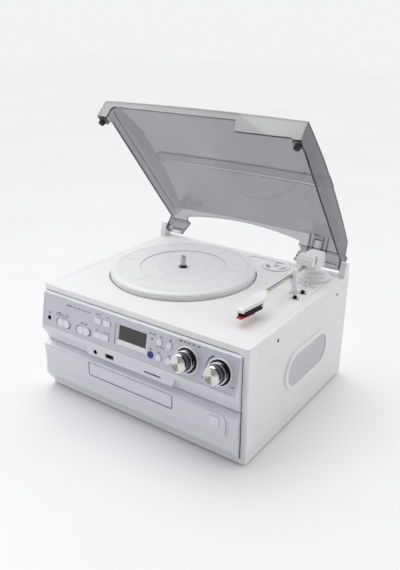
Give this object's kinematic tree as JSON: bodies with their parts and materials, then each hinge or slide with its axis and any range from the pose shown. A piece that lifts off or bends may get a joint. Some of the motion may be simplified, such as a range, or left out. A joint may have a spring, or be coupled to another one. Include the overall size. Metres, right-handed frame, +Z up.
{
  "type": "stereo music centre",
  "caption": "White box-shaped music centre with a belt-drive turntable under a smoked hinged cover, a leaning control panel, a disc drawer, front sockets and side speakers.",
  "frame": {"origin": "centre of the base on the floor, midway across and midway from the front of the knobs to the back of the open cover", "axes": "+X right along the front, +Y to the back, +Z up"},
  "size_m": [0.3152, 0.2961, 0.3674],
  "materials": {
    "white_shell": "satin white moulded plastic",
    "white_board": "fibreboard under white foil",
    "back_board": "fibreboard, painted white",
    "fascia_silver": "pearl white paint on moulded plastic",
    "panel_plate": "printed pearl plate",
    "deck_rubber": "matt black rubber",
    "platter_grey": "satin light grey moulded plastic",
    "bright_steel": "polished, spun on the faces",
    "plain_steel": "plain bright steel",
    "arm_metal": "drawn tube, satin",
    "smoked_cover": "clear smoked acrylic",
    "dark_lens": "dark display window",
    "display_dark": "display module",
    "lamp_clear": "clear lamp lens",
    "circuit_board": "green solder mask",
    "black_plastic": "satin black",
    "stylus_red": "red moulded plastic",
    "button_white": "satin white caps",
    "button_blue": "gloss blue cap",
    "drive_grey": "dark grey chassis plastic",
    "mesh_white": "fine perforated sheet, painted white",
    "socket_plate": "plated contacts in black bodies",
    "drive_rubber": "black rubber"
  },
  "bodies": {
    "cabinet": {"top_deck": "white_shell", "front_moulding": "white_shell", "side_panel_left": "white_board", "side_panel_right": "white_board", "back_panel": "back_board", "base_board": "back_board", "feet": "deck_rubber", "case_screws": "plain_steel", "upper_fascia": "fascia_silver", "control_panel": "panel_plate", "display_lens": "dark_lens", "display_module": "display_dark", "audio_jacks": "black_plastic", "usb_socket": "plain_steel", "card_socket": "plain_steel", "lower_fascia": "fascia_silver", "indicator_lens": "lamp_clear", "front_boards": "circuit_board", "main_board": "circuit_board", "cd_loader": "drive_grey", "speaker_grilles": "white_shell", "grille_mesh": "mesh_white", "speakers": "black_plastic", "deck_motor": "plain_steel", "spindle": "plain_steel", "tonearm_base": "white_shell", "arm_rest": "white_shell", "hinge_towers": "white_shell", "rca_sockets": "socket_plate", "power_inlet": "black_plastic", "drive_belt": "drive_rubber"},
    "cover": {"dust_cover": "smoked_cover", "lid_bumpers": "deck_rubber"},
    "turntable": {"platter": "platter_grey"},
    "pulley": {"motor_pulley": "black_plastic"},
    "arm_swivel": {"pivot_housing": "white_shell"},
    "arm": {"arm_carrier": "white_shell", "arm_tube": "arm_metal", "head_shell": "white_shell", "cartridge": "black_plastic", "stylus": "stylus_red"},
    "speed_lever": {"speed_lever": "black_plastic"},
    "auto_stop_lever": {"auto_stop_lever": "black_plastic"},
    "single_adaptor": {"adaptor_45": "platter_grey"},
    "tuning": {"tuning_knob": "bright_steel", "tuning_skirt": "bright_steel"},
    "volume": {"volume_knob": "bright_steel", "volume_skirt": "bright_steel"},
    "function_slider": {"function_slider": "button_white"},
    "band_slider": {"band_slider": "button_white"},
    "memory_button": {"memory_button": "button_white"},
    "mode_button": {"mode_button": "button_white"},
    "preset_rocker": {"preset_rocker": "button_white"},
    "play_button": {"play_button": "button_white"},
    "stop_button": {"stop_button": "button_white"},
    "skip_back_button": {"skip_back_button": "button_white"},
    "skip_next_button": {"skip_next_button": "button_white"},
    "power_button": {"power_button": "button_blue"},
    "eject_button": {"eject_button": "button_white"},
    "drawer": {"cd_tray": "white_shell"}
  },
  "joints": [
    {"name": "cover_hinge", "type": "hinge", "parent": "cabinet", "child": "cover", "pos_m": [0, 0.12865, 0.1616], "axis": [1, 0, 0], "range_deg": [0, 53]},
    {"name": "platter_spin", "type": "hinge", "parent": "cabinet", "child": "turntable", "pos_m": [-0.0325, 0.01375, 0.1491], "axis": [0, 0, 1], "continuous": true},
    {"name": "pulley_spin", "type": "hinge", "parent": "cabinet", "child": "pulley", "pos_m": [-0.05952, -0.06049, 0.1451], "axis": [0, 0, 1], "continuous": true},
    {"name": "arm_swing", "type": "hinge", "parent": "cabinet", "child": "arm_swivel", "pos_m": [0.12, 0.10025, 0.1691], "axis": [0, 0, 1], "range_deg": [-45, 0]},
    {"name": "arm_lift", "type": "hinge", "parent": "arm_swivel", "child": "arm", "pos_m": [0.12, 0.10025, 0.1709], "axis": [1, 0, 0], "range_deg": [-20, 0]},
    {"name": "speed_select", "type": "slide", "parent": "cabinet", "child": "speed_lever", "axis": [1, 0, 0], "range_m": [-0.003, 0.003]},
    {"name": "auto_stop_select", "type": "slide", "parent": "cabinet", "child": "auto_stop_lever", "axis": [1, 0, 0], "range_m": [-0.003, 0.003]},
    {"name": "adaptor_lift", "type": "slide", "parent": "cabinet", "child": "single_adaptor", "axis": [0, 0, 1], "range_m": [0, 0.025]},
    {"name": "tuning_turn", "type": "hinge", "parent": "cabinet", "child": "tuning", "pos_m": [0.079, -0.12965, 0.11525], "axis": [0, -0.981, 0.1942], "range_deg": [-135, 135]},
    {"name": "volume_turn", "type": "hinge", "parent": "cabinet", "child": "volume", "pos_m": [0.1233, -0.12965, 0.11525], "axis": [0, -0.981, 0.1942], "range_deg": [-145, 145]},
    {"name": "function_slide", "type": "slide", "parent": "cabinet", "child": "function_slider", "axis": [1, 0, 0], "range_m": [-0.002, 0.002]},
    {"name": "band_slide", "type": "slide", "parent": "cabinet", "child": "band_slider", "axis": [1, 0, 0], "range_m": [-0.002, 0.002]},
    {"name": "memory_press", "type": "slide", "parent": "cabinet", "child": "memory_button", "axis": [0, 0.981, -0.1942], "range_m": [0, 0.001], "stiffness_N_per_m": 800},
    {"name": "mode_press", "type": "slide", "parent": "cabinet", "child": "mode_button", "axis": [0, 0.981, -0.1942], "range_m": [0, 0.001], "stiffness_N_per_m": 800},
    {"name": "play_press", "type": "slide", "parent": "cabinet", "child": "play_button", "axis": [0, 0.981, -0.1942], "range_m": [0, 0.001], "stiffness_N_per_m": 800},
    {"name": "stop_press", "type": "slide", "parent": "cabinet", "child": "stop_button", "axis": [0, 0.981, -0.1942], "range_m": [0, 0.001], "stiffness_N_per_m": 800},
    {"name": "skip_back_press", "type": "slide", "parent": "cabinet", "child": "skip_back_button", "axis": [0, 0.981, -0.1942], "range_m": [0, 0.001], "stiffness_N_per_m": 800},
    {"name": "skip_next_press", "type": "slide", "parent": "cabinet", "child": "skip_next_button", "axis": [0, 0.981, -0.1942], "range_m": [0, 0.001], "stiffness_N_per_m": 800},
    {"name": "power_press", "type": "slide", "parent": "cabinet", "child": "power_button", "axis": [0, 0.981, -0.1942], "range_m": [0, 0.001], "stiffness_N_per_m": 800},
    {"name": "preset_rock", "type": "hinge", "parent": "cabinet", "child": "preset_rocker", "pos_m": [-0.0495, -0.12688, 0.10553], "axis": [0, 0.1942, 0.981], "range_deg": [-3.5, 3.5], "stiffness_Nm_per_rad": 0.5},
    {"name": "eject_press", "type": "slide", "parent": "cabinet", "child": "eject_button", "axis": [0, 1, 0], "range_m": [0, 0.0012], "stiffness_N_per_m": 800},
    {"name": "drawer_slide", "type": "slide", "parent": "cabinet", "child": "drawer", "axis": [0, -1, 0], "range_m": [0, 0.125]}
  ],
  "couplings": [
    {"joint": "pulley_spin", "follows": "platter_spin", "ratio": 10.333}
  ]
}
